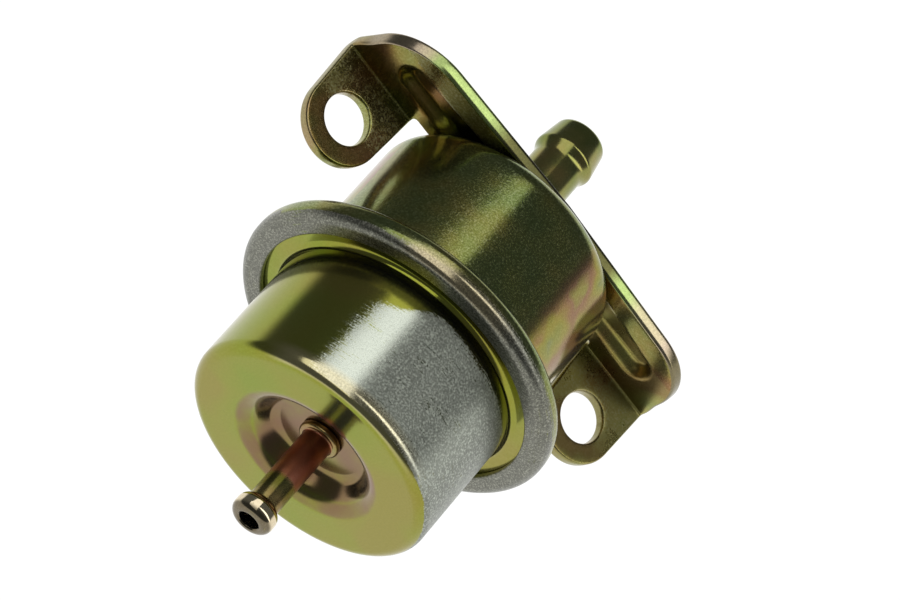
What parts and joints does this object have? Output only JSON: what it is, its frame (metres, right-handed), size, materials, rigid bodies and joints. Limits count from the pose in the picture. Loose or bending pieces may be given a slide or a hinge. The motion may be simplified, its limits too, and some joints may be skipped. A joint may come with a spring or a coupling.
{
  "type": "fuel pressure regulator",
  "caption": "Crimped steel fuel pressure regulator with vacuum nipple, hose spigots and a folded bolt-on bracket.",
  "frame": {"origin": "midway between the two bracket holes, on the back face of the bracket's ears, which is the mounting face", "axes": "+X along the line of the two bracket holes, +Y along the regulator's axis towards the return tube (the vacuum nipple points to -Y), +Z out of the front face of the ears, away from what the bracket is bolted to"},
  "size_m": [0.065, 0.077, 0.0602],
  "materials": {
    "olive_chromate": "olive yellow-chromated zinc, satin",
    "gold_chromate": "gold yellow-chromated zinc, glossy",
    "bronze_chromate": "bronze yellow-chromated zinc, satin",
    "bare_steel": "pressed and turned steel, satin",
    "spring_steel": "drawn spring wire, oiled",
    "brass": "turned brass",
    "nitrile": "fabric-backed rubber, matt"
  },
  "bodies": {
    "housing": {"fuel_housing": "olive_chromate", "spring_cover": "gold_chromate", "vacuum_nipple": "gold_chromate", "mounting_bracket": "bronze_chromate", "return_tube": "gold_chromate", "inlet_tube": "gold_chromate", "valve_seat": "brass", "diaphragm": "nitrile", "main_spring": "spring_steel", "spring_seat": "bare_steel"},
    "valve": {"support_plate": "bare_steel", "spring_plate": "bare_steel", "valve_carrier": "bare_steel", "valve_ball": "bare_steel", "ball_retainer": "bare_steel", "ball_spring": "spring_steel"}
  },
  "joints": [
    {"name": "valve_lift", "type": "slide", "parent": "housing", "child": "valve", "axis": [0, -1, 0], "range_m": [0, 0.0008], "stiffness_N_per_m": 15900, "deforming": ["main_spring", "diaphragm"]}
  ]
}
